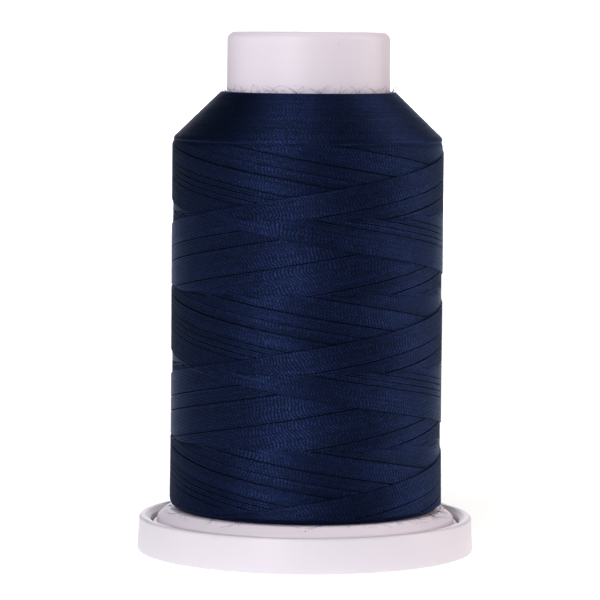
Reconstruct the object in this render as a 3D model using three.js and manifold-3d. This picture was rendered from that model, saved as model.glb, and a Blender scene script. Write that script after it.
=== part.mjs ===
// A large spool of sewing thread: a moulded core with a bare neck and a wide flange, a cross-wound
// package of thread on it, and a snap-fit foot that opens 3 mm to lock the thread's free end.
// Millimetres, +Z up. The origin is on the spool's axis, on the surface that the foot stands on.
import * as THREE from "three";
import { mergeVertices } from "three/addons/utils/BufferGeometryUtils.js";
import Module from "manifold-3d";

const wasm = await Module();
wasm.setup();

// ---- Driving dimensions ----
const ROUND_STEPS = 64; // facets round the axis
const FILLET_STEPS = 3; // facets in each rounded corner
const EDGE_ROUNDING = 0.3; // of the small moulded edges

// Core: one moulding, with the neck at the top and the flange at the bottom.
const OVERALL_HEIGHT = 85.0; // from the table to the neck's rim
const BARREL_RADIUS = 13.35;
const BARREL_WALL = 1.35;
const NECK_LENGTH = 9.8; // left bare above the thread
const NECK_DRAFT = 0.02; // how much narrower the neck is at its rim
const NECK_ROUNDING = 1.3; // outside edge of the rim
const NECK_RIM_WIDTH = 2.1;
const NECK_RECESS_DEPTH = 2.2; // from the rim down to the web
const WEB_THICKNESS = 1.5; // the disc that closes the neck around the pin hub
const PIN_BORE_RADIUS = 4.9; // takes a machine's spool pin
const PIN_HUB_WALL = 1.2;
const PIN_HUB_LENGTH = 11.0;
const WEB_RIB_COUNT = 4;
const WEB_RIB_THICKNESS = 1.1;
const WEB_RIB_DEPTH = 7.5;

// Flange: an upside-down dish. Past the thread its top falls away to the foot's rim.
const FLANGE_MARGIN = 2.75; // how far it stands out past the thread
const FLANGE_FLAT = 0.35; // level part of its top past the thread
const FLANGE_FALL = 1.9; // how far its edge lies below its top
const FLANGE_WEB = 1.4;
const LIP_WALL = 1.2;
const LIP_DEPTH = 3.5; // from the flange's top face to the lip's lower edge
const FLANGE_ROUNDING = 0.9;

// Foot: a shallow cup that the flange sits down into.
const FLANGE_GAP = 0.4; // between flange and rim, just wide enough for the thread's end
const RIM_BEVEL = 0.7; // inside edge of the rim
const FOOT_RIM_WALL = 1.9;
const FOOT_FLARE = 0.3; // how much wider the foot is at the table
const FOOT_RIM_TOP = 5.7;
const FOOT_RIM_ROUNDING = 1.0; // outside edge of the rim
const FOOT_BASE_ROUNDING = 0.3;
const FOOT_FLOOR = 1.7; // height of the cup's floor above the table
const STANDING_RING_WIDTH = 2.1; // what touches the table, outside the label recess
const LABEL_RECESS_DEPTH = 0.45;
const SEAT_INSET = 0.4; // from the lip's inner wall in to the edge of the raised seat under it
const SEAT_HEIGHT = 1.3; // above the cup's floor

// Snap: four arms on the foot stand inside the barrel and hook over a bead in it.
const SNAP_TRAVEL = 3.0; // how far the foot opens
const STOP_CLEARANCE = 0.1; // left between hook and bead when fully open
const RUNNING_CLEARANCE = 0.3; // between faces that slide past each other
const SEAT_CLEARANCE = 0.4; // room for the locked thread between lip and seat
const BEAD_DEPTH = 0.6; // how far the bead stands in from the barrel's inner wall
const BEAD_RISE = 2.0; // from the barrel's lower end up to the bead
const BEAD_HEIGHT = 1.2;
const ARM_COUNT = 4;
const ARM_THICKNESS = 1.1;
const HOOK_REACH = 0.65;
const HOOK_HEIGHT = 1.8;
const GUIDE_WIDTH = 2.6; // ribs in the barrel that run between the arms and stop the foot turning
const GUIDE_REACH = 1.3;
const GUIDE_OVERRUN = 1.9; // how far they stand above the arms
const GUIDE_CLEARANCE = 0.8; // from a guide rib to the arm on each side

// Thread package, and its free end.
const WINDING_RADIUS = 22.15;
const WINDING_BELLY = 0.15; // how much fatter it is a little above the flange
const SHOULDER_SLOPE = 44; // degrees from level, from the body up to the neck
const CREST_WIDTH = 0.9; // thread beside the neck, above the slope
const CREST_ROUNDING = 0.6;
const SHOULDER_ROUNDING = 1.2;
const WINDING_CORNER = 1.2; // rounding of the package's lower edge
const WINDING_CLEARANCE = 0.1; // to the core, all round
const THREAD_DIAMETER = 0.22;
const THREAD_CLEARANCE = 0.2; // from its free end to the plastic that it passes

// Label: a blank paper ring stuck in the foot's recess.
const LABEL_THICKNESS = 0.15;
const LABEL_GLUE = 0.05; // between the paper and the recess
const LABEL_MARGIN = 0.6; // from the recess's edges

// ---- Sizes worked out from them ----
const windingTop = OVERALL_HEIGHT - NECK_LENGTH;
const windingBottomRadius = WINDING_RADIUS + WINDING_BELLY;
const neckTopRadius = BARREL_RADIUS - NECK_DRAFT;
const webTop = OVERALL_HEIGHT - NECK_RECESS_DEPTH;
const webBottom = webTop - WEB_THICKNESS;
const pinHubRadius = PIN_BORE_RADIUS + PIN_HUB_WALL;
const flangeRadius = windingBottomRadius + FLANGE_MARGIN;
const lipInner = flangeRadius - LIP_WALL;
const rimInner = flangeRadius + FLANGE_GAP;
const footTopRadius = rimInner + FOOT_RIM_WALL;
const footRadius = footTopRadius + FOOT_FLARE;
const labelOuter = footRadius - STANDING_RING_WIDTH;
const seatTop = FOOT_FLOOR + SEAT_HEIGHT;
const lipBottom = seatTop + SEAT_CLEARANCE;
const flangeTop = lipBottom + LIP_DEPTH;
const flangeEdge = flangeTop - FLANGE_FALL;
const barrelBottom = FOOT_FLOOR + RUNNING_CLEARANCE;
const barrelInner = BARREL_RADIUS - BARREL_WALL;
const beadBottom = barrelBottom + BEAD_RISE;
const beadTop = beadBottom + BEAD_HEIGHT;
const beadInner = barrelInner - BEAD_DEPTH;
const armOuter = beadInner - RUNNING_CLEARANCE;
const armInner = armOuter - ARM_THICKNESS;
const hookOuter = armOuter + HOOK_REACH;
const hookBottom = beadTop + SNAP_TRAVEL + STOP_CLEARANCE;
const armTop = hookBottom + HOOK_HEIGHT;
const armSlotWidth = GUIDE_WIDTH + 2 * GUIDE_CLEARANCE;

// ---- Materials ----
const corePlastic = new THREE.MeshStandardMaterial({ color: 0xe6dfe8, roughness: 0.42, metalness: 0 });
const footPlastic = new THREE.MeshStandardMaterial({ color: 0xebe5ec, roughness: 0.4, metalness: 0 });
const thread = new THREE.MeshStandardMaterial({ color: 0x14204a, roughness: 0.75, metalness: 0 });
const paper = new THREE.MeshStandardMaterial({ color: 0xf4f2ec, roughness: 0.85, metalness: 0 });

// ---- Tools for making solids ----

// Points round a closed outline of [radius, height] corners. A third number rounds that corner.
function outline(corners) {
  const points = [];
  corners.forEach(([r, z, rounding], i) => {
    const here = new THREE.Vector2(r, z);
    if (!rounding) {
      points.push(here);
      return;
    }
    const [beforeR, beforeZ] = corners.at(i - 1);
    const [afterR, afterZ] = corners[(i + 1) % corners.length];
    const back = new THREE.Vector2(beforeR, beforeZ).sub(here);
    const on = new THREE.Vector2(afterR, afterZ).sub(here);
    const half = back.angleTo(on) / 2;
    const reach = Math.min(rounding / Math.tan(half), back.length() * 0.49, on.length() * 0.49);
    const start = back.clone().setLength(reach).add(here);
    const end = on.clone().setLength(reach).add(here);
    const middle = new THREE.Vector2().addVectors(back.setLength(1), on.setLength(1));
    const centre = middle.setLength(reach / Math.cos(half)).add(here);
    const radius = centre.distanceTo(start);
    const from = start.clone().sub(centre).angle();
    let turn = end.clone().sub(centre).angle() - from;
    if (turn > Math.PI) turn -= 2 * Math.PI;
    if (turn < -Math.PI) turn += 2 * Math.PI;
    for (let k = 0; k <= FILLET_STEPS; k += 1) {
      const angle = from + (turn * k) / FILLET_STEPS;
      points.push(new THREE.Vector2(Math.cos(angle), Math.sin(angle)).multiplyScalar(radius).add(centre));
    }
  });
  points.push(points[0].clone());
  return points;
}

// A ring turned round the Z axis. The corners run anticlockwise, with radius to the right.
function turned(corners) {
  return new THREE.LatheGeometry(outline(corners), ROUND_STEPS).rotateX(Math.PI / 2);
}

// A bar that starts at radius inner, ends at radius outer and spans heights low to high.
function radialBar(inner, outer, width, low, high, angle) {
  const bar = new THREE.BoxGeometry(outer - inner, width, high - low);
  return bar.translate((inner + outer) / 2, 0, (low + high) / 2).rotateZ(angle);
}

function solid(geometry) {
  const bare = geometry.clone();
  bare.deleteAttribute("normal");
  bare.deleteAttribute("uv");
  const merged = mergeVertices(bare, 1e-4);
  return new wasm.Manifold(
    new wasm.Mesh({
      numProp: 3,
      vertProperties: new Float32Array(merged.attributes.position.array),
      triVerts: new Uint32Array(merged.index.array),
    }),
  );
}

function geometryOf(made) {
  const mesh = made.getMesh();
  const geometry = new THREE.BufferGeometry();
  geometry.setAttribute("position", new THREE.BufferAttribute(mesh.vertProperties, 3));
  geometry.setIndex(new THREE.BufferAttribute(mesh.triVerts, 1));
  geometry.computeVertexNormals();
  return geometry;
}

function named(name, geometry, material) {
  const mesh = new THREE.Mesh(geometry, material);
  mesh.name = name;
  return mesh;
}

function angles(count, first) {
  return Array.from({ length: count }, (_, i) => first + (i * 2 * Math.PI) / count);
}

// ---- The pieces ----

// The core is one moulding: the barrel that the thread is wound on, its bare neck, the web and hub
// that centre it on a pin, the flange, and inside the barrel's foot the bead and the guide ribs.
function spoolCore() {
  const barrelSide = [
    [BARREL_RADIUS, barrelBottom, EDGE_ROUNDING],
    [BARREL_RADIUS, flangeTop - FLANGE_WEB],
  ];
  const flange = [
    [windingBottomRadius, flangeTop - FLANGE_WEB],
    [lipInner, flangeTop - FLANGE_WEB - FLANGE_FALL / 2],
    [lipInner, lipBottom],
    [flangeRadius, lipBottom],
    [flangeRadius, flangeEdge, EDGE_ROUNDING],
    [windingBottomRadius + FLANGE_FLAT, flangeTop, FLANGE_ROUNDING],
  ];
  const neck = [
    [BARREL_RADIUS, flangeTop],
    [BARREL_RADIUS, windingTop],
    [neckTopRadius, OVERALL_HEIGHT, NECK_ROUNDING],
    [neckTopRadius - NECK_RIM_WIDTH, OVERALL_HEIGHT, EDGE_ROUNDING],
    [neckTopRadius - NECK_RIM_WIDTH, webTop],
    [PIN_BORE_RADIUS, webTop, EDGE_ROUNDING],
  ];
  const hub = [
    [PIN_BORE_RADIUS, webTop - PIN_HUB_LENGTH],
    [pinHubRadius, webTop - PIN_HUB_LENGTH],
    [pinHubRadius, webBottom],
    [barrelInner, webBottom],
  ];
  const bead = [
    [barrelInner, beadTop],
    [beadInner, beadTop],
    [beadInner, beadBottom + BEAD_DEPTH],
    [barrelInner, beadBottom],
    [barrelInner, barrelBottom],
  ];
  let core = solid(turned([...barrelSide, ...flange, ...neck, ...hub, ...bead]));
  const intoWall = barrelInner + BARREL_WALL / 2;
  for (const angle of angles(ARM_COUNT, Math.PI / ARM_COUNT)) {
    const low = barrelBottom + RUNNING_CLEARANCE;
    const high = armTop + GUIDE_OVERRUN;
    core = core.add(solid(radialBar(barrelInner - GUIDE_REACH, intoWall, GUIDE_WIDTH, low, high, angle)));
  }
  for (const angle of angles(WEB_RIB_COUNT, 0)) {
    const intoHub = pinHubRadius - PIN_HUB_WALL / 2;
    const high = webBottom + WEB_THICKNESS / 2;
    const low = webBottom - WEB_RIB_DEPTH;
    core = core.add(solid(radialBar(intoHub, intoWall, WEB_RIB_THICKNESS, low, high, angle)));
  }
  return named("spool_core", geometryOf(core), corePlastic);
}

// The foot is the second moulding: standing ring, floor, outer rim, inside the rim the raised seat
// that the flange's lip comes down on, and the four snap arms, which are a ring cut by slots.
function snapFoot() {
  const seatInner = lipInner - SEAT_INSET;
  const cup = [
    [armInner, LABEL_RECESS_DEPTH],
    [labelOuter, LABEL_RECESS_DEPTH],
    [labelOuter, 0],
    [footRadius, 0, FOOT_BASE_ROUNDING],
    [footTopRadius, FOOT_RIM_TOP, FOOT_RIM_ROUNDING],
    [rimInner + RIM_BEVEL, FOOT_RIM_TOP, EDGE_ROUNDING],
    [rimInner, FOOT_RIM_TOP - RIM_BEVEL],
    [rimInner, seatTop],
    [seatInner, seatTop],
    [seatInner, FOOT_FLOOR],
  ];
  const arm = [
    [armOuter, FOOT_FLOOR],
    [armOuter, hookBottom],
    [hookOuter, hookBottom],
    [hookOuter, hookBottom + HOOK_HEIGHT / 3],
    [armOuter - ARM_THICKNESS / 3, armTop],
    [armInner, armTop],
  ];
  let foot = solid(turned([...cup, ...arm]));
  for (const angle of angles(ARM_COUNT, Math.PI / ARM_COUNT)) {
    const past = 1.0; // the cutter overshoots the arms by this much
    foot = foot.subtract(
      solid(radialBar(armInner - past, hookOuter + past, armSlotWidth, FOOT_FLOOR, armTop + past, angle)),
    );
  }
  return named("snap_foot", geometryOf(foot), footPlastic);
}

// The whole package of wound thread, as one closed ring.
function threadWinding() {
  const inner = BARREL_RADIUS + WINDING_CLEARANCE;
  const bottom = flangeTop + WINDING_CLEARANCE;
  const crest = inner + CREST_WIDTH;
  const shoulderWidth = WINDING_RADIUS - crest;
  const shoulderHeight = shoulderWidth * Math.tan(THREE.MathUtils.degToRad(SHOULDER_SLOPE));
  const shoulderFoot = windingTop - shoulderHeight;
  const ring = [
    [inner, bottom],
    [windingBottomRadius, bottom, WINDING_CORNER],
    [windingBottomRadius, bottom + shoulderHeight],
    [WINDING_RADIUS, (bottom + shoulderFoot) / 2],
    [WINDING_RADIUS, shoulderFoot, SHOULDER_ROUNDING],
    [crest, windingTop, CREST_ROUNDING],
    [inner, windingTop],
  ];
  return named("thread_winding", turned(ring), thread);
}

// The free end of the thread leaves the package at the back, goes over the flange and under its
// lip, and lies once round the barrel in the closed foot.
function lockedThreadEnd() {
  const half = THREAD_DIAMETER / 2;
  const outside = flangeRadius + FLANGE_GAP / 2;
  const inside = lipInner - half - THREAD_CLEARANCE;
  const pinched = (seatTop + lipBottom) / 2;
  const overLip = flangeTop + half + THREAD_CLEARANCE;
  const restZ = FOOT_FLOOR + half + RUNNING_CLEARANCE;
  const coil = BARREL_RADIUS + half + RUNNING_CLEARANCE;
  // Each station is [degrees round the axis from +X, radius, height].
  const stations = [
    [100, windingBottomRadius + half + THREAD_CLEARANCE, flangeTop + 2.2],
    [106, windingBottomRadius + half + THREAD_CLEARANCE, flangeTop + 1.0],
    [112, windingBottomRadius + 0.6, overLip + 0.25],
    [116, flangeRadius - 1.15, flangeEdge + 1.36],
    [119, flangeRadius - 0.35, flangeEdge + 0.75],
    [120.5, flangeRadius + 0.15, flangeEdge + 0.25],
    [122, outside, flangeEdge - 0.4],
    [124, outside, lipBottom + 0.6],
    [126, outside, lipBottom + 0.15],
    [127, outside - 0.05, pinched + 0.05],
    [128.5, flangeRadius - 0.15, pinched],
    [131, lipInner + 0.1, pinched],
    [134, inside, pinched],
    [142, inside - 0.8, pinched],
    [160, inside - 2.5, pinched - 0.3],
    [185, coil + 3.5, restZ + 0.4],
    [215, coil + 1.2, restZ + 0.1],
  ];
  const coilEnd = 215 + 330;
  for (let degrees = 235; degrees <= coilEnd; degrees += 20) {
    stations.push([degrees, coil + 0.9 * ((coilEnd - degrees) / 330), restZ]);
  }
  const route = new THREE.CatmullRomCurve3(
    stations.map(([degrees, r, z]) => {
      const angle = THREE.MathUtils.degToRad(degrees);
      return new THREE.Vector3(r * Math.cos(angle), r * Math.sin(angle), z);
    }),
    false,
    "centripetal",
  );
  const section = new THREE.Shape().absarc(0, 0, half, 0, 2 * Math.PI);
  const geometry = new THREE.ExtrudeGeometry(section, { steps: 120, curveSegments: 3, extrudePath: route });
  return named("locked_thread_end", geometry, thread);
}

// The blank label in the recess under the foot.
function undersideLabel() {
  const inner = armInner + LABEL_MARGIN;
  const outer = labelOuter - LABEL_MARGIN;
  const high = LABEL_RECESS_DEPTH - LABEL_GLUE;
  const low = high - LABEL_THICKNESS;
  const ring = [
    [inner, low],
    [outer, low],
    [outer, high],
    [inner, high],
  ];
  return named("underside_label", turned(ring), paper);
}

const spool = new THREE.Group();
spool.add(spoolCore(), threadWinding(), lockedThreadEnd());
const base = new THREE.Group();
base.add(snapFoot(), undersideLabel());
const object = new THREE.Group();
object.add(base, spool);
export default object;
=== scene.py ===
import math
import random

import bmesh
import bpy
from mathutils import Matrix, Vector


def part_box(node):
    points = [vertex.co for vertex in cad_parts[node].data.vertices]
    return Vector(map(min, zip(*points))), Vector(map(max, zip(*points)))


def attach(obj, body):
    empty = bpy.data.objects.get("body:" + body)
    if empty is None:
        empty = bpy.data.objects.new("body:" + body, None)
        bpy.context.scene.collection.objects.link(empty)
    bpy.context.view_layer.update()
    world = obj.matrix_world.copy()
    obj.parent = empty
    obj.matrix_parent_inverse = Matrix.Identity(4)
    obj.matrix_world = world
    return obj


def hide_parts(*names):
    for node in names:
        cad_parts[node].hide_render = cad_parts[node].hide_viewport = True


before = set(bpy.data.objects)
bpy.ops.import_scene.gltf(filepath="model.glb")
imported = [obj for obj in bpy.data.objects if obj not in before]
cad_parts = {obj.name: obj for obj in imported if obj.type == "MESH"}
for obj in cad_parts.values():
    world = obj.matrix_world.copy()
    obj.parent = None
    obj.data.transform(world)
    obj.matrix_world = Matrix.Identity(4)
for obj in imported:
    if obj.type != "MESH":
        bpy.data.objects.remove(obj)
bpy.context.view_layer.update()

MM = 0.001
scene = bpy.context.scene

# ---- Camera, floor and studio lights ------------------------------------------------------------
# A long lens a little above the spool's top looks slightly down at it. Softboxes stand in front on
# the left, at the right, at the left and above, and a bright backdrop lies behind the pale floor.
EYE_LENS = 206.54
EYE_PLACE = (-1.12, -563.0, 87.86)
EYE_DOWN = 0.08292
EYE_ROLL = 0.0079
eye = bpy.data.cameras.new("eye")
eye.lens = EYE_LENS
eye.sensor_width = 36.0
eye.clip_start = 0.01
eye.clip_end = 50.0
camera = bpy.data.objects.new("eye", eye)
stand = Matrix.Translation([length * MM for length in EYE_PLACE])
tilt = Matrix.Rotation(math.pi / 2 - EYE_DOWN, 4, "X") @ Matrix.Rotation(EYE_ROLL, 4, "Z")
camera.matrix_world = stand @ tilt
scene.collection.objects.link(camera)
scene.camera = camera
scene.view_settings.view_transform = "Standard"
scene.view_settings.look = "None"


class Term:
    """A node's socket that Python's own operators work on, in a material or a geometry tree."""

    def __init__(self, tree, socket):
        self.tree = tree
        self.socket = socket

    def maths(self, operation, *others, clamp=False):
        settings = {"operation": operation, "use_clamp": clamp}
        return node(self.tree, "ShaderNodeMath", settings, dict(enumerate((self, *others))))

    def __add__(self, other):
        return self.maths("ADD", other)

    def __radd__(self, other):
        return self.maths("ADD", other)

    def __sub__(self, other):
        return self.maths("SUBTRACT", other)

    def __rsub__(self, other):
        return self.maths("MULTIPLY", -1.0) + other

    def __mul__(self, other):
        return self.maths("MULTIPLY", other)

    def __rmul__(self, other):
        return self.maths("MULTIPLY", other)

    def __truediv__(self, other):
        return self.maths("DIVIDE", other)

    def __pow__(self, other):
        return self.maths("POWER", other)


def node(tree, kind, settings=(), inputs=(), output=0):
    """Adds one node, sets its settings first and its sockets after, and returns one output."""
    made = tree.nodes.new(kind)
    for name, value in dict(settings).items():
        if name == "stops":
            ramp = made.color_ramp
            while len(ramp.elements) < len(value):
                ramp.elements.new(0.5)
            for element, (at, colour) in zip(ramp.elements, value):
                element.position = at
                element.color = colour
        else:
            setattr(made, name, value)
    for name, value in dict(inputs).items():
        if isinstance(value, Term):
            tree.links.new(value.socket, made.inputs[name])
        else:
            made.inputs[name].default_value = value
    if output is None:
        return made
    return Term(tree, made.outputs[output])


def vector(tree, x=0.0, y=0.0, z=0.0):
    return node(tree, "ShaderNodeCombineXYZ", {}, {"X": x, "Y": y, "Z": z})


def along_axis(tree, source, axis):
    return node(tree, "ShaderNodeSeparateXYZ", {}, {"Vector": source}, axis)


def noise(tree, where, scale, detail, **more):
    inputs = {"Vector": where, "Scale": scale, "Detail": detail, **more}
    return node(tree, "ShaderNodeTexNoise", {}, inputs)


def mixed(tree, factor, first, second):
    """The first colour where the factor is 0, turning into the second where it is 1."""
    first, second = (c if isinstance(c, Term) else (*c, 1) for c in (first, second))
    inputs = {"Factor": factor, "A": first, "B": second}
    return node(tree, "ShaderNodeMix", {"data_type": "RGBA"}, inputs, "Result")


def white_noise(tree, dimensions, inputs):
    return node(tree, "ShaderNodeTexWhiteNoise", {"noise_dimensions": dimensions}, inputs)


def bumped(tree, shader, strength, distance, height):
    inputs = {"Strength": strength, "Distance": distance, "Height": height}
    tree.links.new(node(tree, "ShaderNodeBump", {}, inputs).socket, shader.inputs["Normal"])


def stored(tree, geometry, name, value, data_type="FLOAT", domain="POINT"):
    """Keeps a value on the geometry as a named attribute."""
    settings = {"data_type": data_type, "domain": domain}
    inputs = {"Geometry": geometry, "Name": name, "Value": value}
    return node(tree, "GeometryNodeStoreNamedAttribute", settings, inputs)


def finish_of(name, base, roughness, **constants):
    """A material with one Principled shader; returns the material, its tree and the shader."""
    made = bpy.data.materials.new(name)
    made.use_nodes = True
    shader = made.node_tree.nodes["Principled BSDF"]
    shader.inputs["Base Color"].default_value = (*base, 1)
    shader.inputs["Roughness"].default_value = roughness
    for socket, value in constants.items():
        shader.inputs[socket.replace("_", " ")].default_value = value
    return made, made.node_tree, shader


def mesh_object(name, points, faces, material, smooth_under=40):
    """A mesh object in place at the world's origin, smooth where faces meet under that angle."""
    mesh = bpy.data.meshes.new(name)
    mesh.from_pydata([tuple(p) for p in points], [], [tuple(f) for f in faces])
    mesh.materials.append(material)
    mesh.shade_smooth()
    mesh.set_sharp_from_angle(angle=math.radians(smooth_under))
    mesh.update()
    made = bpy.data.objects.new(name, mesh)
    scene.collection.objects.link(made)
    return made


def area_light(name, place, aim, width, height, power, colour=(1, 1, 1)):
    light = bpy.data.lights.new(name, "AREA")
    light.shape = "RECTANGLE"
    light.size = width
    light.size_y = height
    light.energy = power
    light.color = colour
    made = bpy.data.objects.new(name, light)
    made.location = place
    made.rotation_mode = "QUATERNION"
    made.rotation_quaternion = (Vector(aim) - Vector(place)).to_track_quat("-Z", "Y")
    scene.collection.objects.link(made)
    return made


MIDDLE = (0, 0, 0.042)
area_light("softbox_front", (-0.32, -0.73, 0.42), MIDDLE, 0.40, 1.1, 6.4)
area_light("softbox_right", (0.63, 0.10, 0.30), MIDDLE, 0.5, 0.9, 3.4, (1.0, 0.91, 0.86))
area_light("softbox_left", (-0.70, 0.02, 0.20), MIDDLE, 0.3, 0.5, 0.3)
area_light("softbox_top", (-0.1, -0.06, 0.8), (0, 0, 0), 0.5, 0.6, 1.0)

world = bpy.data.worlds.new("studio")
world.use_nodes = True
world.node_tree.nodes["Background"].inputs["Color"].default_value = (1, 1, 1, 1)
world.node_tree.nodes["Background"].inputs["Strength"].default_value = 0.02
scene.world = world

# White paper lies under and behind the spool; the table in front of it and beside it is grey.
PAPER = (0.93, 0.93, 0.93)
PAPER_FRONT = -0.10
PAPER_HALF = 0.22
SWEEP_BACK = 0.9
SWEEP_ROUND = 0.25
SWEEP_STEPS = 12
SWEEP_HALF = 2.0
FLOOR_GAP = 0.00002
sweep_paint, sweep_tree, sweep_shader = finish_of(
    "sweep_paint", PAPER, 0.9, Emission_Color=(1, 1, 1, 1), Emission_Strength=0.52
)
sweep_place = node(sweep_tree, "ShaderNodeTexCoord", output="Object")
in_front = (PAPER_FRONT - along_axis(sweep_tree, sweep_place, "Y")) / 0.12
beside = (along_axis(sweep_tree, sweep_place, "X").maths("ABSOLUTE") - PAPER_HALF) / 0.15
table = in_front.maths("MAXIMUM", beside).maths("MULTIPLY", 1.0, clamp=True)
for socket, on_paper, on_table in (
    ("Base Color", PAPER, (0.22, 0.22, 0.22)),
    ("Emission Color", (1, 1, 1), (0.05, 0.05, 0.05)),
):
    shade = mixed(sweep_tree, table, on_paper, on_table)
    sweep_tree.links.new(shade.socket, sweep_shader.inputs[socket])
sweep_side = [(-1.6, 0.0)]
for step in range(SWEEP_STEPS + 1):
    turn = math.radians(90 * step / SWEEP_STEPS)
    y = SWEEP_BACK + SWEEP_ROUND * math.sin(turn)
    sweep_side.append((y, SWEEP_ROUND * (1 - math.cos(turn))))
sweep_side.append((SWEEP_BACK + SWEEP_ROUND, 1.6))
sweep_points = [(x, y, z - FLOOR_GAP) for y, z in sweep_side for x in (-SWEEP_HALF, SWEEP_HALF)]
sweep_faces = [(2 * i, 2 * i + 1, 2 * i + 3, 2 * i + 2) for i in range(len(sweep_side) - 1)]
mesh_object("floor_sweep", sweep_points, sweep_faces, sweep_paint)
area_light("backdrop_glow", (0.2, 0.85, 0.45), (0.2, 1.2, 0.42), 1.4, 1.0, 6.5)

# ---- Spool core ---------------------------------------------------------------------------------
# One satin white moulding: bare neck with a rounded rim, a sunk web with the pin hub and its four
# ribs, the barrel that the thread hides, and the flange with its lip.
CORE_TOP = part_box("spool_core")[1][2] / MM
BARREL = 13.35
BARREL_INSIDE = 12.0
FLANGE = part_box("spool_core")[1][0] / MM
FLANGE_TOP = 6.9
FLANGE_CROWN = 22.65
FLANGE_UNDER = FLANGE_TOP - 1.4
LEDGE = 4.5
LEDGE_WIDTH = 0.7
LIP = 1.2
LIP_BOTTOM = 3.4
WINDING_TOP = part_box("thread_winding")[1][2] / MM
WEB_TOP = CORE_TOP - 2.2
WEB_UNDER = WEB_TOP - 1.5
PIN_BORE = 4.9
HUB = 6.1
HUB_BOTTOM = WEB_TOP - 11.0
NECK_WALL = 2.12
BEAD = 0.6
TURN_STEPS = 160


def outline(corners, steps=6):
    """Points along [radius, height, rounding] corners, in millimetres, with each corner rounded."""
    points = []
    for i, corner in enumerate(corners):
        here = Vector(corner[:2])
        rounding = corner[2] if len(corner) > 2 else 0
        if not rounding:
            points.append(here)
            continue
        back = Vector(corners[i - 1][:2]) - here
        on = Vector(corners[(i + 1) % len(corners)][:2]) - here
        half = back.angle(on) / 2
        reach = min(rounding / math.tan(half), back.length * 0.49, on.length * 0.49)
        a = here + back.normalized() * reach
        b = here + on.normalized() * reach
        for k in range(steps + 1):
            t = k / steps
            # a circle's arc between the two tangent points, as a rational curve
            w = math.sin(half)
            low, mid, high = (1 - t) ** 2, 2 * w * t * (1 - t), t**2
            points.append((a * low + here * mid + b * high) / (low + mid + high))
    return points


def turned(corners, start=0.0, end=360.0, steps=TURN_STEPS):
    """A closed ring, or part of one, turned round the axis from an anticlockwise outline."""
    side = outline(corners)
    whole = end - start >= 360
    count = steps if whole else max(3, round(steps * (end - start) / 360)) + 1
    points = []
    for i in range(count):
        turn = math.radians(start + (end - start) * i / (count if whole else count - 1))
        points += [(p.x * MM * math.cos(turn), p.x * MM * math.sin(turn), p.y * MM) for p in side]
    size = len(side)
    faces = []
    for i in range(count if whole else count - 1):
        j = (i + 1) % count
        for k in range(size):
            m = (k + 1) % size
            faces.append((i * size + k, j * size + k, j * size + m, i * size + m))
    if not whole:
        faces.append(tuple(range(size)))
        faces.append(tuple((count - 1) * size + k for k in reversed(range(size))))
    return points, faces


def bar(inner, outer, width, low, high, degrees):
    """A rib that starts at one radius and ends at another, turned round the axis."""
    turn = Matrix.Rotation(math.radians(degrees), 4, "Z")
    points = []
    half = width / 2
    for z in (low, high):
        for x, y in ((inner, -half), (outer, -half), (outer, half), (inner, half)):
            points.append(turn @ Vector((x * MM, y * MM, z * MM)))
    faces = [(3, 2, 1, 0), (4, 5, 6, 7), (0, 1, 5, 4), (1, 2, 6, 5), (2, 3, 7, 6), (3, 0, 4, 7)]
    return points, faces


def joined(*shapes):
    points, faces = [], []
    for more_points, more_faces in shapes:
        faces += [tuple(len(points) + i for i in face) for face in more_faces]
        points += more_points
    return points, faces


def moulded_plastic(name, base, tint, roughness):
    """Satin moulded plastic: faint flow clouds, a fine spark-eroded grain and a little dust."""
    made, tree, shader = finish_of(name, base, roughness, Specular_IOR_Level=0.45)
    place = node(tree, "ShaderNodeTexCoord", output="Object")
    clouds = noise(tree, place, 55.0, 3.0)
    grain = noise(tree, place, 5200.0, 2.0)
    specks = node(tree, "ShaderNodeTexVoronoi", {}, {"Vector": place, "Scale": 420.0})
    chance = noise(tree, place, 300.0, 0.0)
    dust = (0.055 - specks).maths("MULTIPLY", 30.0, clamp=True)
    dust = dust * (chance - 0.62).maths("MULTIPLY", 9.0, clamp=True)
    dusty = mixed(tree, dust * 0.55, mixed(tree, clouds, base, tint), (0.25, 0.19, 0.17))
    tree.links.new(dusty.socket, shader.inputs["Base Color"])
    satin = roughness + (clouds - 0.5) * 0.12 + (grain - 0.5) * 0.08
    tree.links.new(satin.socket, shader.inputs["Roughness"])
    bumped(tree, shader, 0.35, 0.00002, grain * 0.6 + clouds * 0.8)
    return made


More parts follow.
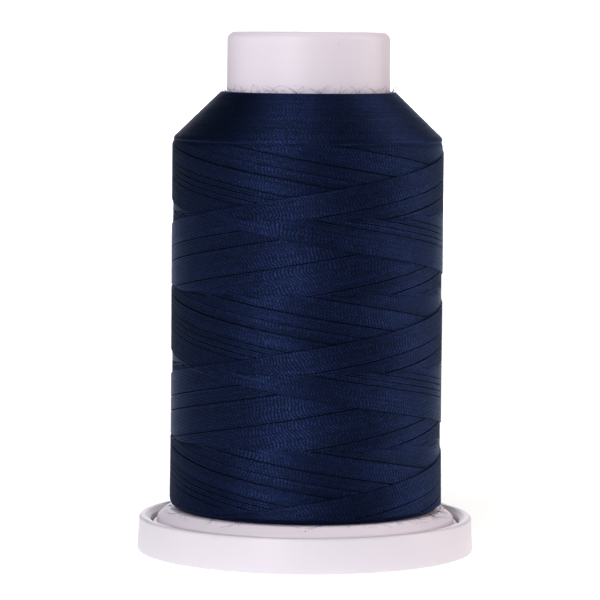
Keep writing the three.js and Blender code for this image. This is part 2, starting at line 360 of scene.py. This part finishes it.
core_plastic = moulded_plastic("core_plastic", (0.86, 0.77, 0.87), (0.88, 0.80, 0.89), 0.42)
core_ring = turned(
    [
        (BARREL, 2.0, 0.3),
        (BARREL, FLANGE_UNDER, 0.5),
        (22.3, FLANGE_UNDER, 0.5),
        (FLANGE - LIP, FLANGE_TOP - 2.35, 0.3),
        (FLANGE - LIP, LIP_BOTTOM, 0.2),
        (FLANGE, LIP_BOTTOM, 0.25),
        (FLANGE, LEDGE, 0.2),
        (FLANGE - LEDGE_WIDTH, LEDGE, 0.4),
        (FLANGE - LEDGE_WIDTH, FLANGE_TOP - 1.35, 0.6),
        (FLANGE_CROWN, FLANGE_TOP, 0.9),
        (BARREL, FLANGE_TOP, 0.3),
        (BARREL, WINDING_TOP),
        (BARREL - 0.02, CORE_TOP - 0.85, 1.1),
        (BARREL - 0.87, CORE_TOP, 1.1),
        (BARREL - NECK_WALL, CORE_TOP, 0.35),
        (BARREL - NECK_WALL, WEB_TOP, 0.4),
        (PIN_BORE, WEB_TOP, 0.35),
        (PIN_BORE, HUB_BOTTOM, 0.25),
        (HUB, HUB_BOTTOM, 0.25),
        (HUB, WEB_UNDER, 0.4),
        (BARREL_INSIDE, WEB_UNDER, 0.4),
        (BARREL_INSIDE, 5.2),
        (BARREL_INSIDE - BEAD, 5.2, 0.1),
        (BARREL_INSIDE - BEAD, 4.6, 0.1),
        (BARREL_INSIDE, 4.0),
        (BARREL_INSIDE, 2.0, 0.3),
    ]
)
core_ribs = [bar(5.5, 12.6, 1.1, WEB_TOP - 9.0, WEB_TOP - 0.8, 90 * i) for i in range(4)]
guide_ribs = [bar(10.7, 12.6, 2.6, 2.3, 12.0, 45 + 90 * i) for i in range(4)]
core = mesh_object("core_moulding", *joined(core_ring, *core_ribs, *guide_ribs), core_plastic)
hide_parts("spool_core")
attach(core, "spool")

# ---- Snap foot ----------------------------------------------------------------------------------
# The second white moulding: a shallow cup with a rounded rim, and inside the rim the seat for the
# flange's lip. Four hooked arms stand inside the barrel, and the label sits in a recess below.
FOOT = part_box("snap_foot")[1][0] / MM
# Painted shade: the same white plastic as the core, in a darker copy that tones down the brightly
# lit foot.
foot_plastic = moulded_plastic("foot_plastic", (0.72, 0.67, 0.74), (0.75, 0.70, 0.76), 0.36)
RIM_TOP = 5.7
RIM_INSIDE = FOOT - 2.2
STANDING_RING = 2.1
RECESS = 0.45
SEAT = 3.0
SEAT_INSIDE = 23.45
CUP_FLOOR = 1.7
ARM_INSIDE = 10.0
ARM_OUTSIDE = 11.1
ARM_TOP = 10.1
HOOK = 11.75
HOOK_UNDER = 8.3
foot_cup = turned(
    [
        (ARM_INSIDE, RECESS, 0.2),
        (FOOT - STANDING_RING, RECESS),
        (FOOT - STANDING_RING, 0.0, 0.12),
        (FOOT, 0.0, 0.25),
        (FOOT - 0.3, RIM_TOP, 1.0),
        (FOOT - 1.3, RIM_TOP, 0.7),
        (RIM_INSIDE, RIM_TOP - 0.7, 0.3),
        (RIM_INSIDE, SEAT, 0.3),
        (SEAT_INSIDE, SEAT, 0.3),
        (SEAT_INSIDE, CUP_FLOOR),
        (ARM_INSIDE, CUP_FLOOR, 0.2),
    ]
)
arm_outline = [
    (ARM_INSIDE, CUP_FLOOR - 0.2),
    (ARM_OUTSIDE, CUP_FLOOR - 0.2),
    (ARM_OUTSIDE, HOOK_UNDER),
    (HOOK, HOOK_UNDER, 0.1),
    (HOOK, HOOK_UNDER + 0.6, 0.15),
    (10.73, ARM_TOP, 0.15),
    (ARM_INSIDE, ARM_TOP, 0.15),
]
ARM_HALF = 45 - math.degrees(math.asin(2.1 / 10.6))  # degrees; a guide rib stands between two arms
arms = [turned(arm_outline, 90 * i - ARM_HALF, 90 * i + ARM_HALF) for i in range(4)]
foot = mesh_object("foot_moulding", *joined(foot_cup, *arms), foot_plastic)
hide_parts("snap_foot")
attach(foot, "foot")

# ---- Underside label ----------------------------------------------------------------------------
# A blank ring of uncoated paper, die-cut and stuck in the foot's recess.
paper, paper_tree, paper_shader = finish_of("label_paper", (0.72, 0.71, 0.69), 0.85)
paper_place = node(paper_tree, "ShaderNodeTexCoord", output="Object")
fibres = noise(paper_tree, paper_place, 1800.0, 4.0, Distortion=1.2)
pulp = mixed(paper_tree, fibres, (0.68, 0.67, 0.64), (0.76, 0.75, 0.73))
paper_tree.links.new(pulp.socket, paper_shader.inputs["Base Color"])
bumped(paper_tree, paper_shader, 0.4, 0.00003, fibres)
LABEL_INNER = 10.6
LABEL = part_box("underside_label")
LABEL_OUTER = LABEL[1][0] / MM
LABEL_TOP = LABEL[1][2] / MM
LABEL_UNDER = LABEL_TOP - 0.15
label_side = [
    (LABEL_INNER, LABEL_UNDER, 0.04),
    (LABEL_OUTER, LABEL_UNDER, 0.04),
    (LABEL_OUTER, LABEL_TOP),
    (LABEL_INNER, LABEL_TOP),
]
label = mesh_object("paper_label", *turned(label_side), paper)
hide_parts("underside_label")
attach(label, "foot")

# ---- Wound thread: the body ---------------------------------------------------------------------
# Dark navy two-ply sewing thread, cross-wound. Each stroke of the winder lays one thread beside the
# last, rising and falling by turns, so each family of strokes covers the package once per cycle.
THREAD = 0.22
LEAD = 24.55
THREADS = 108
LAYER = 0.20
RISING_AT = 59.5
FALLING_AT = 51.75
PLY = 0.58
MEAN_RADIUS = 22.2
UNDER_RADIUS = 22.0
BODY_LOW = 7.9
BODY_HIGH = 68.0
STEPS = 216
FACETS = 4

thread_finish, thread_tree, thread_shader = finish_of(
    "navy_thread", (0.02, 0.03, 0.09), 0.46, Specular_IOR_Level=0.06
)
thread_shader.inputs["Specular Tint"].default_value = (0.60, 0.68, 0.85, 1.0)
run = node(thread_tree, "ShaderNodeUVMap", {"uv_map": "thread_run"})
along = along_axis(thread_tree, run, "X")
across = along_axis(thread_tree, run, "Y")
strand = across.maths("FLOOR")
wide = across - strand
drift = noise(thread_tree, vector(thread_tree, along * 0.05, across * 0.06), 1.0, 3.0)
phase = along / PLY + drift * 8.0
ply = (phase * math.pi).maths("COSINE").maths("ABSOLUTE")
ply_top = ply**1.5
spot_at = vector(thread_tree, (phase + 0.5).maths("FLOOR"), strand)
# Painted glint: each ply crest gets a brightness of its own at random.
painted_sparkle_chance = white_noise(thread_tree, "2D", {"Vector": spot_at})
strand_noise = white_noise(thread_tree, "1D", {"W": strand})
ridge = (wide * math.pi).maths("SINE")
# Only the crest of each ply lies along the thread's surface and shines, as metal and less rough.
# Its colour is painted highlight there, with painted glints of random strength. Elsewhere the
# colour is painted shade, darkest in the crevices between plies and at each thread's edges.
crest_highlight_and_crevice_shade = ply_top * (ridge * 0.6 + 0.4) * (strand_noise * 0.4 + 0.6) * (painted_sparkle_chance * 0.6 + 0.4)
patch = noise(thread_tree, vector(thread_tree, along * 0.9, across * 0.6), 1.0, 2.0)
patched = (patch - 0.3).maths("MULTIPLY", 2.5, clamp=True)
# Painted highlight: the lit colour of the crests, in two hues that vary at random.
painted_lit_crest_colour = mixed(thread_tree, patched, (0.031, 0.043, 0.160), (0.018, 0.050, 0.185))
# Painted shade: near-black where the mask is low, in the crevices between plies and at thread
# edges.
thread_colour = mixed(thread_tree, crest_highlight_and_crevice_shade, (0.0036, 0.0056, 0.0120), painted_lit_crest_colour)
thread_tree.links.new(thread_colour.socket, thread_shader.inputs["Base Color"])
metal = (crest_highlight_and_crevice_shade * 6.0).maths("MINIMUM", 1.0)
thread_tree.links.new(metal.socket, thread_shader.inputs["Metallic"])
thread_tree.links.new((0.44 - crest_highlight_and_crevice_shade * 0.10).socket, thread_shader.inputs["Roughness"])
bumped(thread_tree, thread_shader, 1.0, 0.00003, ply * ridge)


def new_tree(name, inputs):
    """A geometry tree with named inputs; returns the tree and each input as a Term."""
    tree = bpy.data.node_groups.new(name, "GeometryNodeTree")
    tree.interface.new_socket("Geometry", in_out="INPUT", socket_type="NodeSocketGeometry")
    tree.interface.new_socket("Geometry", in_out="OUTPUT", socket_type="NodeSocketGeometry")
    for label_text, kind in inputs.items():
        tree.interface.new_socket(label_text, in_out="INPUT", socket_type="NodeSocket" + kind)
    source = tree.nodes.new("NodeGroupInput")
    terms = {socket.name: Term(tree, socket) for socket in source.outputs if socket.name}
    return tree, terms


def close_tree(tree, geometry):
    sink = tree.nodes.new("NodeGroupOutput")
    tree.links.new(geometry.socket, sink.inputs[0])


def grown(name, tree, values, start=None):
    """Evaluates a tree on an empty or given mesh with those inputs, and keeps the plain mesh."""
    seed = bpy.data.objects.new(name, start or bpy.data.meshes.new(name + "_seed"))
    scene.collection.objects.link(seed)
    modifier = seed.modifiers.new("growth", "NODES")
    modifier.node_group = tree
    for item in tree.interface.items_tree:
        if item.in_out == "INPUT" and item.name in values:
            modifier[item.identifier] = values[item.name]
    graph = bpy.context.evaluated_depsgraph_get()
    graph.update()
    mesh = bpy.data.meshes.new_from_object(seed.evaluated_get(graph))
    mesh.name = name
    seed.modifiers.remove(modifier)
    seed.data = mesh
    return seed


def straight(tree, count):
    """An upright line, one unit long, with that many points."""
    line = node(tree, "GeometryNodeCurvePrimitiveLine")
    inputs = {"Curve": line, "Count": count}
    return node(tree, "GeometryNodeResampleCurve", {"mode": "COUNT"}, inputs)


def ribbon_section(tree, threads, facets):
    """The closed cross-section of a ribbon: points with their thread number and a top flag.

    The underside has a point at each edge only. Bent round the package it is a chord, and on the
    widest band that chord passes inside the barrel.
    """
    top_count = threads * facets + 1
    line = straight(tree, top_count + 2)
    index = node(tree, "GeometryNodeInputIndex")
    is_top = index.maths("LESS_THAN", top_count)
    far_end = index.maths("COMPARE", top_count, 0.5)
    number = is_top * index / facets + far_end * threads
    line = moved(tree, line, vector(tree, number, is_top))
    line = node(tree, "GeometryNodeSetSplineCyclic", {}, {"Geometry": line, "Cyclic": True})
    return stored(tree, stored(tree, line, "number", number), "is_top", is_top)


def attribute(tree, name):
    settings = {"data_type": "FLOAT"}
    return node(tree, "GeometryNodeInputNamedAttribute", settings, {"Name": name}, "Attribute")


def moved(tree, geometry, position):
    inputs = {"Geometry": geometry, "Position": position}
    return node(tree, "GeometryNodeSetPosition", {}, inputs)


def swept(tree, path, profile, **more):
    inputs = {"Curve": path, "Profile Curve": profile, **more}
    return node(tree, "GeometryNodeCurveToMesh", {}, inputs)


def finished(tree, geometry, material):
    """Smooth, with its instances made real and its material set."""
    smooth = {"Geometry": geometry, "Shade Smooth": True}
    geometry = node(tree, "GeometryNodeSetShadeSmooth", {}, smooth)
    geometry = node(tree, "GeometryNodeRealizeInstances", {}, {"Geometry": geometry})
    inputs = {"Geometry": geometry, "Material": material}
    return node(tree, "GeometryNodeSetMaterial", {}, inputs)


def with_run(tree, geometry, along_term, across_term, material):
    """Stores the thread's own coordinates as a UV map, then sets the material."""
    where = vector(tree, along_term, across_term)
    return finished(tree, stored(tree, geometry, "thread_run", where, "FLOAT2", "CORNER"), material)


def ridge_depth(tree, number, thread):
    """How far below its crest a thread's round surface lies, from one side of it to the other."""
    side = (number - number.maths("FLOOR")) * 2.0 - 1.0
    return (1.0 - (1.0 - side * side * 0.93).maths("SQRT")) * thread * 0.5


band_tree, given = new_tree(
    "wound_band",
    {
        "Threads": "Int",
        "First Age": "Float",
        "Hand": "Float",
        "Own Height": "Float",
        "Other Height": "Float",
        "Seed": "Float",
        "Material": "Material",
    },
)
section = ribbon_section(band_tree, given["Threads"], FACETS)
share = node(band_tree, "GeometryNodeSplineParameter", output="Factor")
rail = stored(band_tree, straight(band_tree, STEPS + 1), "share", share)
band = swept(band_tree, rail, section, **{"Fill Caps": True})
number = attribute(band_tree, "number")
is_top = attribute(band_tree, "is_top")
height = attribute(band_tree, "share") * (BODY_HIGH - BODY_LOW) + BODY_LOW
# The strokes level out as they near the winder's turning points at both ends.
TURN_ROOM = 1.6
STROKE_LOW, STROKE_HIGH = 6.5, 68.35
near_top = (height - (STROKE_HIGH - TURN_ROOM)).maths("MAXIMUM", 0.0)
near_foot = ((STROKE_LOW + TURN_ROOM) - height).maths("MAXIMUM", 0.0)


def levelling(past):
    left = (TURN_ROOM - past).maths("MAXIMUM", 0.02)
    return TURN_ROOM * 2.0 - (left * TURN_ROOM).maths("SQRT") * 2.0 - past


laid = height + levelling(near_top) - levelling(near_foot)
age = given["First Age"] + number / float(THREADS)
wander = noise(band_tree, vector(band_tree, number * 0.8, height * 0.35, given["Seed"]), 1.0, 2.0)
turns = age + given["Hand"] * (laid - given["Own Height"]) / LEAD
turns = turns + (wander - 0.5) * (0.35 / THREADS)
other = turns + given["Hand"] * (laid - given["Other Height"]) / LEAD
other_age = other - other.maths("FLOOR")
own_number = (number + 0.001).maths("FLOOR")
dive = white_noise(band_tree, "1D", {"W": own_number + given["Seed"] * 31.7})
under = (age - other_age + (dive - 0.5) * 0.08) * 90.0 + 0.5
under = under.maths("MULTIPLY", 1.0, clamp=True)
belly = ((30.0 - height) / 23.0).maths("MAXIMUM", 0.0)
DIVE_FROM = 66.7  # the strokes dive below the shoulder's level turns from this height
top_radius = (
    UNDER_RADIUS
    + belly * belly * 0.17
    + (2.0 - age - other_age - under) * LAYER
    - ridge_depth(band_tree, number, THREAD)
    - (height - DIVE_FROM).maths("MAXIMUM", 0.0) * 0.45
    + (wander - 0.5) * 0.07
)
radius = is_top * top_radius + (1.0 - is_top) * (UNDER_RADIUS - 0.35)
turn = turns * (2 * math.pi)
x = radius * turn.maths("SINE") * MM
y = radius * turn.maths("COSINE") * -MM
band = moved(band_tree, band, vector(band_tree, x, y, height * MM))
# Beside each other, the threads' plies are out of step by about a fifth of their spacing.
run_length = turns * math.hypot(2 * math.pi * MEAN_RADIUS, LEAD)
run_length = run_length - given["Hand"] * number * (0.22 * PLY) + dive * (0.4 * PLY)
band = with_run(band_tree, band, run_length, number + given["Seed"] * 137.0, given["Material"])
close_tree(band_tree, band)

# Each band was laid in one run of strokes; the winder's small jumps leave the lines between them.
RISING_AGES = (0.0, 0.161, 0.26, 0.44, 0.657, 0.757, 1.0)
FALLING_AGES = (0.0, 0.16, 0.20, 0.24, 0.279, 0.39, 0.456, 0.535, 0.668, 1.0)
GAP = 0.5
for family, hand, own, opposite, ages in (
    ("rising", 1.0, RISING_AT, FALLING_AT, RISING_AGES),
    ("falling", -1.0, FALLING_AT, RISING_AT, FALLING_AGES),
):
    for count, (young, old) in enumerate(zip(ages, ages[1:])):
        threads = max(2, round((old - young) * THREADS - GAP))
        values = {
            "Threads": threads,
            "First Age": young,
            "Hand": hand,
            "Own Height": own,
            "Other Height": opposite,
            "Seed": count + (1.0 if hand > 0 else 21.0),
            "Material": thread_finish,
        }
        piece = grown(f"thread_{family}_{count + 1}", band_tree, values)
        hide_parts("thread_winding")
        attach(piece, "spool")

# ---- Wound thread: under layers, shoulder and foot turns ----------------------------------------
# Below the outer strokes lies the rest of the package. At both ends the winder turned round, so the
# thread runs nearly level there: over the sloping shoulder, and in the last turns on the flange.
under_side = [
    (BARREL + 0.1, FLANGE_TOP + 0.1),
    (UNDER_RADIUS - 0.9, FLANGE_TOP + 0.1, 0.4),
    (UNDER_RADIUS - 0.25, FLANGE_TOP + 2.0, 0.8),
    (UNDER_RADIUS - 0.25, BODY_HIGH - 0.8, 0.5),
    (BARREL + 0.75, WINDING_TOP - 0.45, 0.4),
    (BARREL + 0.1, WINDING_TOP - 0.45),
]
under_layers = mesh_object("thread_under_layers", *turned(under_side), thread_finish)
under_layers.data.uv_layers.new(name="thread_run")
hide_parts("thread_winding")
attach(under_layers, "spool")

turns_tree, given = new_tree(
    "level_turns",
    {
        "Threads": "Int",
        "Facets Round": "Int",
        "Unevenness": "Float",
        "Seed": "Float",
        "Material": "Material",
    },
)
path = node(turns_tree, "GeometryNodeMeshToCurve", {}, {"Mesh": given["Geometry"]})
path = node(
    turns_tree,
    "GeometryNodeFilletCurve",
    {"mode": "POLY"},
    {"Curve": path, "Count": 6, "Radius": 0.6, "Limit Radius": True},
)
section = ribbon_section(turns_tree, given["Threads"], FACETS)
facets_round = given["Facets Round"]
circle = {"Resolution": facets_round, "Radius": 1.0}
ring = node(turns_tree, "GeometryNodeCurvePrimitiveCircle", {}, circle)
share = node(turns_tree, "GeometryNodeInputIndex") / facets_round
turns_mesh = swept(turns_tree, stored(turns_tree, ring, "share", share), section)
number = attribute(turns_tree, "number")
is_top = attribute(turns_tree, "is_top")
round_angle = attribute(turns_tree, "share") * (2 * math.pi)
circle_x = round_angle.maths("COSINE")
circle_y = round_angle.maths("SINE")
wave_at = vector(turns_tree, circle_x * 1.1, circle_y * 1.1, number * 0.10 + given["Seed"])
wave = noise(turns_tree, wave_at, 1.0, 1.0)
own_seed = number.maths("FLOOR") * 7.3 + given["Seed"]
own = noise(turns_tree, vector(turns_tree, circle_x * 1.6, circle_y * 1.6, own_seed), 1.0, 2.0)
shifted = (number + (wave - 0.5) * 5.0 * is_top).maths("MAXIMUM", 0.0)
shifted = shifted.maths("MINIMUM", given["Threads"])
sample = node(
    turns_tree,
    "GeometryNodeSampleCurve",
    {"mode": "FACTOR", "use_all_curves": True},
    {"Curves": path, "Factor": shifted / given["Threads"]},
    None,
)
at = Term(turns_tree, sample.outputs["Position"])
run_dir = Term(turns_tree, sample.outputs["Tangent"])
lift = (own - 0.5) * given["Unevenness"] - ridge_depth(turns_tree, number, THREAD)
lift = lift * is_top - (1.0 - is_top) * 0.45
radius = along_axis(turns_tree, at, "X") + along_axis(turns_tree, run_dir, "Z") * lift
height = along_axis(turns_tree, at, "Z") - along_axis(turns_tree, run_dir, "X") * lift
spot = vector(turns_tree, radius * circle_x * MM, radius * circle_y * MM, height * MM)
turns_mesh = moved(turns_tree, turns_mesh, spot)
own_number = (number + 0.001).maths("FLOOR")
step_out = white_noise(turns_tree, "1D", {"W": own_number + given["Seed"]})
LEVEL_RADIUS = 19.0
turns_mesh = with_run(
    turns_tree,
    turns_mesh,
    round_angle * LEVEL_RADIUS + step_out * 5.0,
    number + given["Seed"] * 53.0,
    given["Material"],
)
close_tree(turns_tree, turns_mesh)


def side_path(name, points):
    mesh = bpy.data.meshes.new(name)
    links = [(i, i + 1) for i in range(len(points) - 1)]
    mesh.from_pydata([(r, 0, z) for r, z in points], links, [])
    return mesh


shoulder_path = [
    (UNDER_RADIUS - 0.70, 66.0),
    (UNDER_RADIUS + 0.10, 67.7),
    (BARREL + 1.0, WINDING_TOP),
    (BARREL + 0.1, WINDING_TOP),
]
foot_path = [
    (UNDER_RADIUS - 1.6, FLANGE_TOP + 0.12),
    (UNDER_RADIUS - 0.6, FLANGE_TOP + 0.12),
    (UNDER_RADIUS + 0.32, FLANGE_TOP + 1.1),
    (UNDER_RADIUS + 0.25, FLANGE_TOP + 2.2),
]
for name, points, seed in (
    ("thread_shoulder_turns", shoulder_path, 3.0),
    ("thread_foot_turns", foot_path, 8.0),
):
    length = sum(math.dist(a, b) for a, b in zip(points, points[1:]))
    values = {
        "Threads": round(length / THREAD),
        "Facets Round": 224,
        "Unevenness": 0.16,
        "Seed": seed,
        "Material": thread_finish,
    }
    piece = grown(name, turns_tree, values, side_path(name + "_path", points))
    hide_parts("thread_winding")
    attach(piece, "spool")

# ---- Locked thread end --------------------------------------------------------------------------
# The free end of the same two-ply thread. It comes off the package at the back, goes over the
# flange, is pinched under its lip, and lies in one turn round the barrel inside the foot.
END_STATIONS = [
    (100, 22.61, 9.1),
    (106, 22.61, 7.9),
    (112, 22.9, 7.46),
    (116, 23.9, 6.36),
    (119, 24.7, 5.75),
    (120.5, 25.2, 5.25),
    (122, 25.25, 4.6),
    (124, 25.25, 4.0),
    (126, 25.25, 3.55),
    (127, 25.2, 3.25),
    (128.5, 24.9, 3.2),
    (131, 23.95, 3.2),
    (134, 23.54, 3.2),
    (142, 22.74, 3.2),
    (160, 21.04, 2.9),
    (185, 17.26, 2.51),
    (215, 14.96, 2.21),
]
END_STATIONS += [(235 + 20 * i, 13.76 + 0.9 * (310 - 20 * i) / 330, 2.11) for i in range(16)]


def eased(stations, step):
    """Points about one step apart on a smooth curve through [degrees, radius, height] stations."""
    knots = []
    for degrees, radius, height in stations:
        turn = math.radians(degrees)
        knots.append(Vector((radius * math.cos(turn), radius * math.sin(turn), height)))
    knots = [knots[0] * 2 - knots[1], *knots, knots[-1] * 2 - knots[-2]]
    points = []
    for a, b, c, d in zip(knots, knots[1:], knots[2:], knots[3:]):
        ta = 0.0
        tb = ta + (b - a).length ** 0.5
        tc = tb + (c - b).length ** 0.5
        td = tc + (d - c).length ** 0.5
        count = max(1, round((c - b).length / step))
        for i in range(count):
            t = tb + (tc - tb) * i / count
            ab = a.lerp(b, (t - ta) / (tb - ta))
            bc = b.lerp(c, (t - tb) / (tc - tb))
            cd = c.lerp(d, (t - tc) / (td - tc))
            abc = ab.lerp(bc, (t - ta) / (tc - ta))
            bcd = bc.lerp(cd, (t - tb) / (td - tb))
            points.append(abc.lerp(bcd, (t - tb) / (tc - tb)))
    return [*points, knots[-2]]


plied_tree, given = new_tree(
    "plied_thread", {"Thickness": "Float", "Lay": "Float", "Material": "Material"}
)
route = node(plied_tree, "GeometryNodeMeshToCurve", {}, {"Mesh": given["Geometry"]})
run_at = node(plied_tree, "GeometryNodeSplineParameter", output="Length")
route = stored(plied_tree, route, "run_at", run_at)
tilted = {"Curve": route, "Tilt": run_at / given["Lay"] * (2 * math.pi)}
route = node(plied_tree, "GeometryNodeSetCurveTilt", {}, tilted)
# Two plies side by side: a round outline that is pinched in at its middle.
PLY_SIDES = 12
circle = {"Resolution": PLY_SIDES, "Radius": 1.0}
plies = node(plied_tree, "GeometryNodeCurvePrimitiveCircle", {}, circle)
side_at = node(plied_tree, "GeometryNodeInputIndex")
side_turn = side_at * (2 * math.pi / PLY_SIDES)
reach = (side_turn.maths("COSINE").maths("ABSOLUTE") * 0.42 + 0.58) * given["Thickness"] * 0.5
pinched = vector(plied_tree, reach * side_turn.maths("COSINE"), reach * side_turn.maths("SINE"))
plies = moved(plied_tree, plies, pinched)
plies = stored(plied_tree, plies, "side_at", side_at / float(PLY_SIDES))
plied = swept(plied_tree, route, plies, **{"Fill Caps": True})
plied = with_run(
    plied_tree,
    plied,
    attribute(plied_tree, "run_at") * (1 / MM),
    attribute(plied_tree, "side_at") * 0.9 + 5.05,
    given["Material"],
)
close_tree(plied_tree, plied)

end_route = bpy.data.meshes.new("thread_end_route")
end_points = [p * MM for p in eased(END_STATIONS, 0.16)]
end_route.from_pydata(end_points, [(i, i + 1) for i in range(len(end_points) - 1)], [])
thread_end = grown(
    "thread_end",
    plied_tree,
    {"Thickness": THREAD * MM, "Lay": 2 * PLY * MM, "Material": thread_finish},
    end_route,
)
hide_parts("locked_thread_end")
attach(thread_end, "spool")

# ---- Loose fibres and dust ----------------------------------------------------------------------
# Short ends of filament broken in winding. They stand against the neck at the top of the package
# and hang over the flange at its foot, most of them in small tufts, with a few grains of dust.
fibre_finish, fibre_tree, fibre_shader = finish_of(
    "loose_fibre", (0.05, 0.065, 0.20), 0.6, Specular_IOR_Level=0.3
)
fibre_place = node(fibre_tree, "ShaderNodeTexCoord", output="Object")
fade = noise(fibre_tree, fibre_place, 900.0, 2.0)
fibre_colour = mixed(fibre_tree, fade, (0.02, 0.03, 0.13), (0.15, 0.18, 0.45))
fibre_tree.links.new(fibre_colour.socket, fibre_shader.inputs["Base Color"])

lint_tree, given = new_tree(
    "lint",
    {
        "Fibres": "Int",
        "Tufts": "Int",
        "Radius": "Float",
        "Height": "Float",
        "Scatter": "Float",
        "Length": "Float",
        "Rise": "Float",
        "Outward": "Float",
        "Thickness": "Float",
        "Seed": "Float",
        "Material": "Material",
    },
)
FIBRE_POINTS = 8
way_up = node(lint_tree, "GeometryNodeSplineParameter", output="Factor")
hair = stored(lint_tree, straight(lint_tree, FIBRE_POINTS), "way_up", way_up)
roots = node(lint_tree, "GeometryNodePoints", {}, {"Count": given["Fibres"]})
roots = stored(lint_tree, roots, "fibre", node(lint_tree, "GeometryNodeInputIndex"))
hairs = node(lint_tree, "GeometryNodeInstanceOnPoints", {}, {"Points": roots, "Instance": hair})
hairs = node(lint_tree, "GeometryNodeRealizeInstances", {}, {"Geometry": hairs})
fibre = attribute(lint_tree, "fibre")
way_up = attribute(lint_tree, "way_up")


def chance_of(which):
    """A number from 0 to 1 that each fibre keeps, a different one for each use."""
    seed_at = vector(lint_tree, fibre + 0.5, given["Seed"], which + 0.5)
    return white_noise(lint_tree, "3D", {"Vector": seed_at})


anywhere = chance_of(1)
tuft = ((anywhere * given["Tufts"]).maths("FLOOR") + (chance_of(2) - 0.5) * 0.16) / given["Tufts"]
in_tuft = chance_of(3).maths("GREATER_THAN", 0.45)
root_turn = (anywhere + (tuft - anywhere) * in_tuft) * (2 * math.pi)
hair_length = given["Length"] * (chance_of(4) ** 2.2 + 0.18)
lean = (chance_of(5) - 0.5) * 1.6
curl = (chance_of(6) - 0.5) * 2.2
sway = (way_up * (chance_of(7) * 5.0 + 2.0)).maths("SINE") * way_up * 0.12
sideways = hair_length * (way_up * lean + way_up * way_up * curl + sway)
upward = hair_length * given["Rise"] * (way_up - way_up * way_up * 0.3)
outward = hair_length * given["Outward"] * (way_up + way_up * way_up * (chance_of(8) - 0.4))
hair_radius = given["Radius"] + (chance_of(9) - 0.5) * given["Scatter"] + outward
hair_turn = root_turn + sideways / given["Radius"]
x = hair_radius * hair_turn.maths("COSINE") * MM
y = hair_radius * hair_turn.maths("SINE") * MM
hairs = moved(lint_tree, hairs, vector(lint_tree, x, y, (given["Height"] + upward) * MM))
circle = {"Resolution": 3, "Radius": given["Thickness"] * (0.5 * MM)}
hair_round = node(lint_tree, "GeometryNodeCurvePrimitiveCircle", {}, circle)
hairs = swept(lint_tree, hairs, hair_round, **{"Fill Caps": True})
close_tree(lint_tree, finished(lint_tree, hairs, given["Material"]))

for name, values in {
    "lint_at_neck": {
        "Fibres": 300,
        "Tufts": 26,
        "Radius": BARREL + 0.75,
        "Height": WINDING_TOP - 0.1,
        "Scatter": 0.9,
        "Length": 1.9,
        "Rise": 1.0,
        "Outward": 0.15,
        "Seed": 4.0,
    },
    "lint_on_flange": {
        "Fibres": 230,
        "Tufts": 30,
        "Radius": UNDER_RADIUS + 0.1,
        "Height": FLANGE_TOP + 0.14,
        "Scatter": 0.2,
        "Length": 2.1,
        "Rise": -0.35,
        "Outward": 0.85,
        "Seed": 9.0,
    },
}.items():
    values.update({"Thickness": 0.032, "Material": fibre_finish})
    lint = grown(name, lint_tree, values)
    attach(lint, "spool")

dust, _, _ = finish_of("dust_grain", (0.05, 0.035, 0.03), 0.8)
grain_draw = random.Random(5)
grain_points, grain_faces = [], []
for x, y, z, radius in (
    (0.0, -23.45, 6.30, 0.085),
    (-1.0, -23.40, 6.33, 0.045),
    (-2.1, -13.19, 76.4, 0.045),
    (6.6, -21.8, 6.85, 0.04),
):
    ball = bmesh.new()
    bmesh.ops.create_icosphere(ball, subdivisions=1, radius=radius * MM)
    for corner in ball.verts:
        corner.co = corner.co * grain_draw.uniform(0.75, 1.25) + Vector((x, y, z)) * MM
    ball_points = [v.co.copy() for v in ball.verts]
    ball_faces = [tuple(v.index for v in f.verts) for f in ball.faces]
    grain_points, grain_faces = joined((grain_points, grain_faces), (ball_points, ball_faces))
    ball.free()
grains = mesh_object("dust_grains", grain_points, grain_faces, dust)
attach(grains, "spool")
